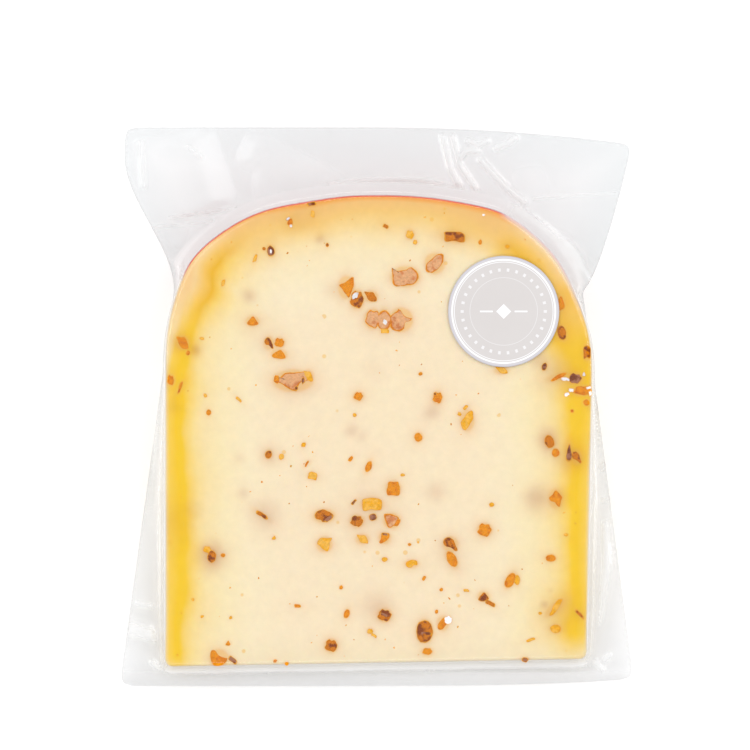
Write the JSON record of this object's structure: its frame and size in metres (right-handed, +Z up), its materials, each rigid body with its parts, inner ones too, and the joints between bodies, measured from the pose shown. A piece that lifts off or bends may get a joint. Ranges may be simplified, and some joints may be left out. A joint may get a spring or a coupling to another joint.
{
  "type": "vacuum packed cheese wedge",
  "caption": "Wedge of seeded cheese with a rounded rim, sealed in a tight clear pouch with a flat flange all round and a round label on its upper cut face.",
  "frame": {"origin": "on the ground, under the middle of the whole pack's bounding box", "axes": "+X runs along the axis of the cheese wheel that the wedge was cut from, +Y points from the cut tip to the rounded rim, +Z is up, square to the lower cut face that the pack rests on"},
  "size_m": [0.1146, 0.1266, 0.031],
  "materials": {
    "packed_cheese": "glossy clear film over pale yellow cheese with brown and orange seeds",
    "label_silver": "satin silver-grey sticker"
  },
  "bodies": {
    "root": {"sealed_bag": "packed_cheese", "label": "label_silver"}
  },
  "joints": []
}
